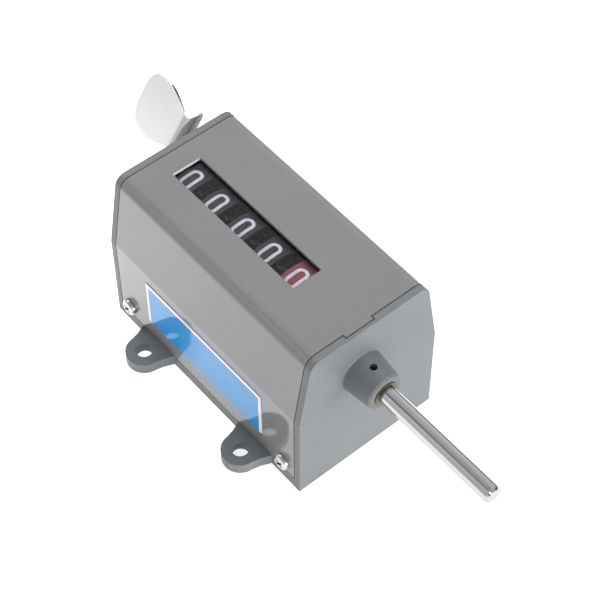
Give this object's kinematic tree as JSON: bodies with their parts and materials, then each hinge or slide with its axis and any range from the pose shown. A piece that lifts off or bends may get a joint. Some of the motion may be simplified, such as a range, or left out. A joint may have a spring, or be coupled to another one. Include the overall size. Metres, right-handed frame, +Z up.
{
  "type": "mechanical revolution counter",
  "caption": "Shaft-driven mechanical revolution counter: grey cased body on flat feet, number wheels behind a top window, drive shaft at one end and a turn-key reset at the other.",
  "frame": {"origin": "centre of the four foot holes, on the mounting face", "axes": "+X along the drive shaft towards its free end, -Y towards the nameplate side, +Z up from the mounting face"},
  "size_m": [0.176, 0.0772, 0.0651],
  "materials": {
    "frame_paint": "grey satin paint on a die casting",
    "cover_paint": "warm grey satin paint",
    "clear_window": "clear plastic sheet",
    "plate_blue": "blue printed plate with a white border",
    "screw_steel": "bright plated",
    "bronze": "sintered bronze",
    "shaft_steel": "ground and plated",
    "plain_steel": "turned",
    "spring_steel": "rolled",
    "friction_fibre": "pressed fibre",
    "wheel_red": "moulded, satin",
    "wheel_black": "moulded, satin",
    "pinion_plastic": "moulded",
    "numeral_white": "printed ink on the number wheels",
    "key_chrome": "polished plated sheet"
  },
  "bodies": {
    "chassis": {"frame": "frame_paint", "cover": "cover_paint", "window_lens": "clear_window", "nameplate": "plate_blue", "cover_screws": "screw_steel", "drive_bush": "bronze", "rear_bush": "bronze", "pinion_shaft": "shaft_steel", "detent_spring": "spring_steel", "detent_screw": "screw_steel"},
    "drive": {"drive_shaft": "shaft_steel", "drive_hub": "plain_steel", "hub_pin": "plain_steel", "clutch_disc": "friction_fibre", "cup_spring": "spring_steel", "snap_ring": "spring_steel", "thrust_washer": "plain_steel"},
    "tenths": {"wheel_tenths": "wheel_red", "pawl_tenths": "spring_steel"},
    "units": {"wheel_units": "wheel_black", "pawl_units": "spring_steel"},
    "tens": {"wheel_tens": "wheel_black", "pawl_tens": "spring_steel"},
    "hundreds": {"wheel_hundreds": "wheel_black", "pawl_hundreds": "spring_steel"},
    "thousands": {"wheel_thousands": "wheel_black", "pawl_thousands": "spring_steel"},
    "transfer_units": {"pinion_units": "pinion_plastic"},
    "transfer_tens": {"pinion_tens": "pinion_plastic"},
    "transfer_hundreds": {"pinion_hundreds": "pinion_plastic"},
    "transfer_thousands": {"pinion_thousands": "pinion_plastic"},
    "reset": {"wheel_shaft": "shaft_steel", "reset_key": "key_chrome", "key_washer": "plain_steel", "key_nut": "plain_steel", "home_cam": "plain_steel"}
  },
  "joints": [
    {"name": "drive_turn", "type": "hinge", "parent": "chassis", "child": "drive", "pos_m": [0, -0.003, 0.0426], "axis": [1, 0, 0], "continuous": true},
    {"name": "tenths_turn", "type": "hinge", "parent": "chassis", "child": "tenths", "pos_m": [0, -0.003, 0.0426], "axis": [1, 0, 0], "continuous": true},
    {"name": "units_turn", "type": "hinge", "parent": "chassis", "child": "units", "pos_m": [0, -0.003, 0.0426], "axis": [1, 0, 0], "continuous": true},
    {"name": "tens_turn", "type": "hinge", "parent": "chassis", "child": "tens", "pos_m": [0, -0.003, 0.0426], "axis": [1, 0, 0], "continuous": true},
    {"name": "hundreds_turn", "type": "hinge", "parent": "chassis", "child": "hundreds", "pos_m": [0, -0.003, 0.0426], "axis": [1, 0, 0], "continuous": true},
    {"name": "thousands_turn", "type": "hinge", "parent": "chassis", "child": "thousands", "pos_m": [0, -0.003, 0.0426], "axis": [1, 0, 0], "continuous": true},
    {"name": "transfer_units_turn", "type": "hinge", "parent": "chassis", "child": "transfer_units", "pos_m": [0, 0.01397, 0.0328], "axis": [1, 0, 0], "continuous": true},
    {"name": "transfer_tens_turn", "type": "hinge", "parent": "chassis", "child": "transfer_tens", "pos_m": [0, 0.01397, 0.0328], "axis": [1, 0, 0], "continuous": true},
    {"name": "transfer_hundreds_turn", "type": "hinge", "parent": "chassis", "child": "transfer_hundreds", "pos_m": [0, 0.01397, 0.0328], "axis": [1, 0, 0], "continuous": true},
    {"name": "transfer_thousands_turn", "type": "hinge", "parent": "chassis", "child": "transfer_thousands", "pos_m": [0, 0.01397, 0.0328], "axis": [1, 0, 0], "continuous": true},
    {"name": "reset_turn", "type": "hinge", "parent": "chassis", "child": "reset", "pos_m": [0, -0.003, 0.0426], "axis": [1, 0, 0], "continuous": true, "deforming": ["detent_spring"]}
  ],
  "couplings": [
    {"joint": "tenths_turn", "follows": "drive_turn", "ratio": 1},
    {"joint": "units_turn", "follows": "drive_turn", "ratio": 0.1},
    {"joint": "tens_turn", "follows": "drive_turn", "ratio": 0.01},
    {"joint": "hundreds_turn", "follows": "drive_turn", "ratio": 0.001},
    {"joint": "thousands_turn", "follows": "drive_turn", "ratio": 0.0001},
    {"joint": "transfer_units_turn", "follows": "drive_turn", "ratio": -0.25},
    {"joint": "transfer_tens_turn", "follows": "drive_turn", "ratio": -0.025},
    {"joint": "transfer_hundreds_turn", "follows": "drive_turn", "ratio": -0.0025},
    {"joint": "transfer_thousands_turn", "follows": "drive_turn", "ratio": -0.00025}
  ]
}
